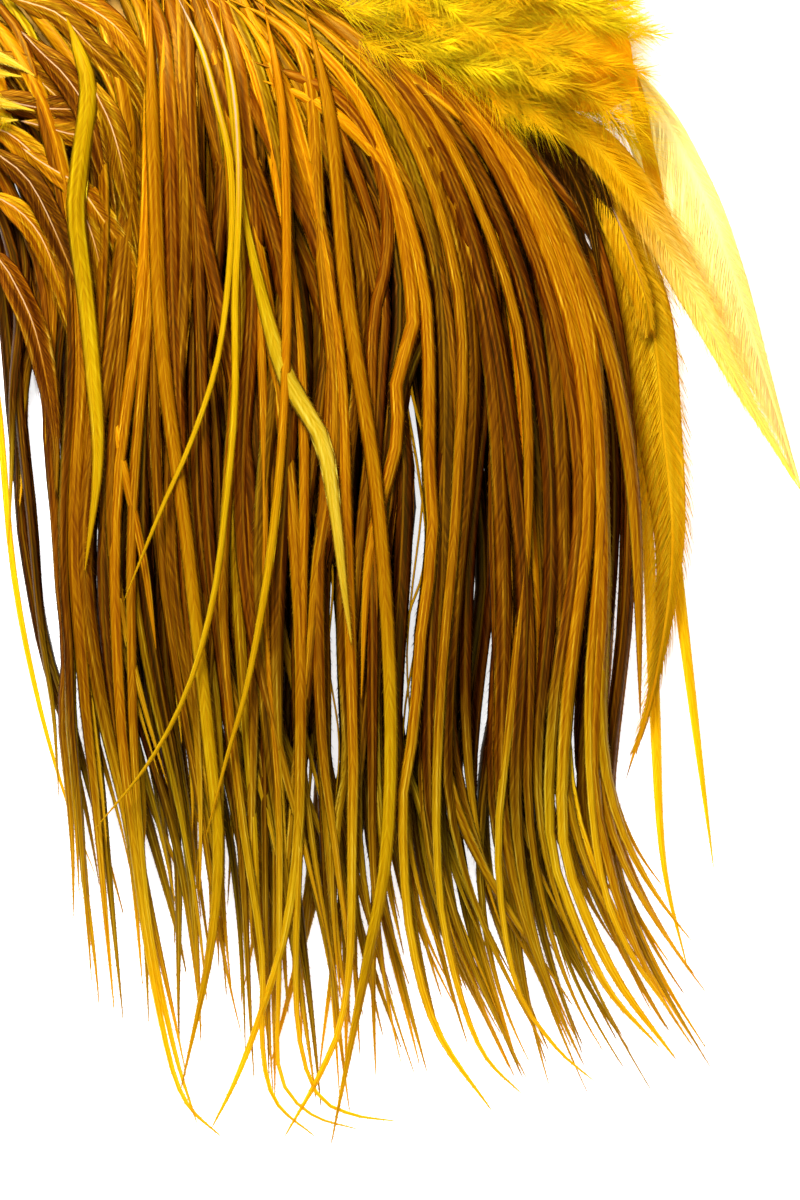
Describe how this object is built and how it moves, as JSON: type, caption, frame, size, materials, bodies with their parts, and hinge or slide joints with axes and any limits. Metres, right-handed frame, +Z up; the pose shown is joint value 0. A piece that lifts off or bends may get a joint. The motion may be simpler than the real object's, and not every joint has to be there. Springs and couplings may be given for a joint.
{
  "type": "rooster saddle hackle",
  "caption": "Dried rooster saddle patch with long slender hackles in layered rows, side feathers and down, dyed golden olive, lying on its skin side.",
  "frame": {"origin": "centre of the skin's flat underside, on the surface that the patch lies on", "axes": "+X across the saddle, +Y from the feather tips towards the neck edge of the skin, +Z up through the feathers"},
  "size_m": [0.2461, 0.3369, 0.0205],
  "materials": {
    "dried_hide": "dry, dyed hide, matt",
    "deep_brown": "dyed feather, soft sheen",
    "golden_brown": "dyed feather, soft sheen",
    "amber": "dyed feather, soft sheen",
    "olive": "dyed feather, soft sheen",
    "yellow": "thin dyed feather, translucent",
    "down": "fine down, matt"
  },
  "bodies": {
    "root": {"cover_feather_01": "amber", "cover_feather_02": "amber", "cover_feather_03": "amber", "cover_feather_04": "amber", "cover_feather_05": "amber", "down_front": "down", "down_left": "down", "down_left_flank": "down", "down_right": "down", "down_right_flank": "down", "edge_hackle_inner": "yellow", "edge_hackle_left": "yellow", "edge_hackle_outer": "yellow", "flank_feather_blunt": "amber", "flank_feather_bright": "yellow", "flank_feather_broad": "amber", "flank_feather_left": "amber", "flank_feather_long": "amber", "middle_hackle_01": "golden_brown", "middle_hackle_02": "golden_brown", "middle_hackle_03": "golden_brown", "middle_hackle_04": "golden_brown", "middle_hackle_05": "golden_brown", "middle_hackle_06": "golden_brown", "middle_hackle_07": "golden_brown", "middle_hackle_08": "golden_brown", "middle_hackle_09": "golden_brown", "middle_hackle_10": "golden_brown", "middle_hackle_11": "golden_brown", "skin": "dried_hide", "stray_hackle_bright": "yellow", "stray_hackle_long_left": "yellow", "stray_hackle_long_right": "yellow", "stray_hackle_olive_left": "olive", "stray_hackle_olive_low": "olive", "stray_hackle_pale": "yellow", "stray_hackle_yellow_low": "yellow", "top_hackle_01": "amber", "top_hackle_02": "amber", "top_hackle_03": "amber", "top_hackle_04": "amber", "top_hackle_05": "amber", "top_hackle_06": "amber", "top_hackle_07": "amber", "top_hackle_08": "amber", "top_hackle_09": "amber", "top_hackle_10": "amber", "top_hackle_11": "amber", "top_hackle_12": "amber", "under_hackle_01": "deep_brown", "under_hackle_02": "deep_brown", "under_hackle_03": "deep_brown", "under_hackle_04": "deep_brown", "under_hackle_05": "deep_brown", "under_hackle_06": "deep_brown", "under_hackle_07": "deep_brown", "under_hackle_08": "deep_brown", "under_hackle_09": "deep_brown", "under_hackle_10": "deep_brown", "under_hackle_11": "deep_brown"}
  },
  "joints": []
}
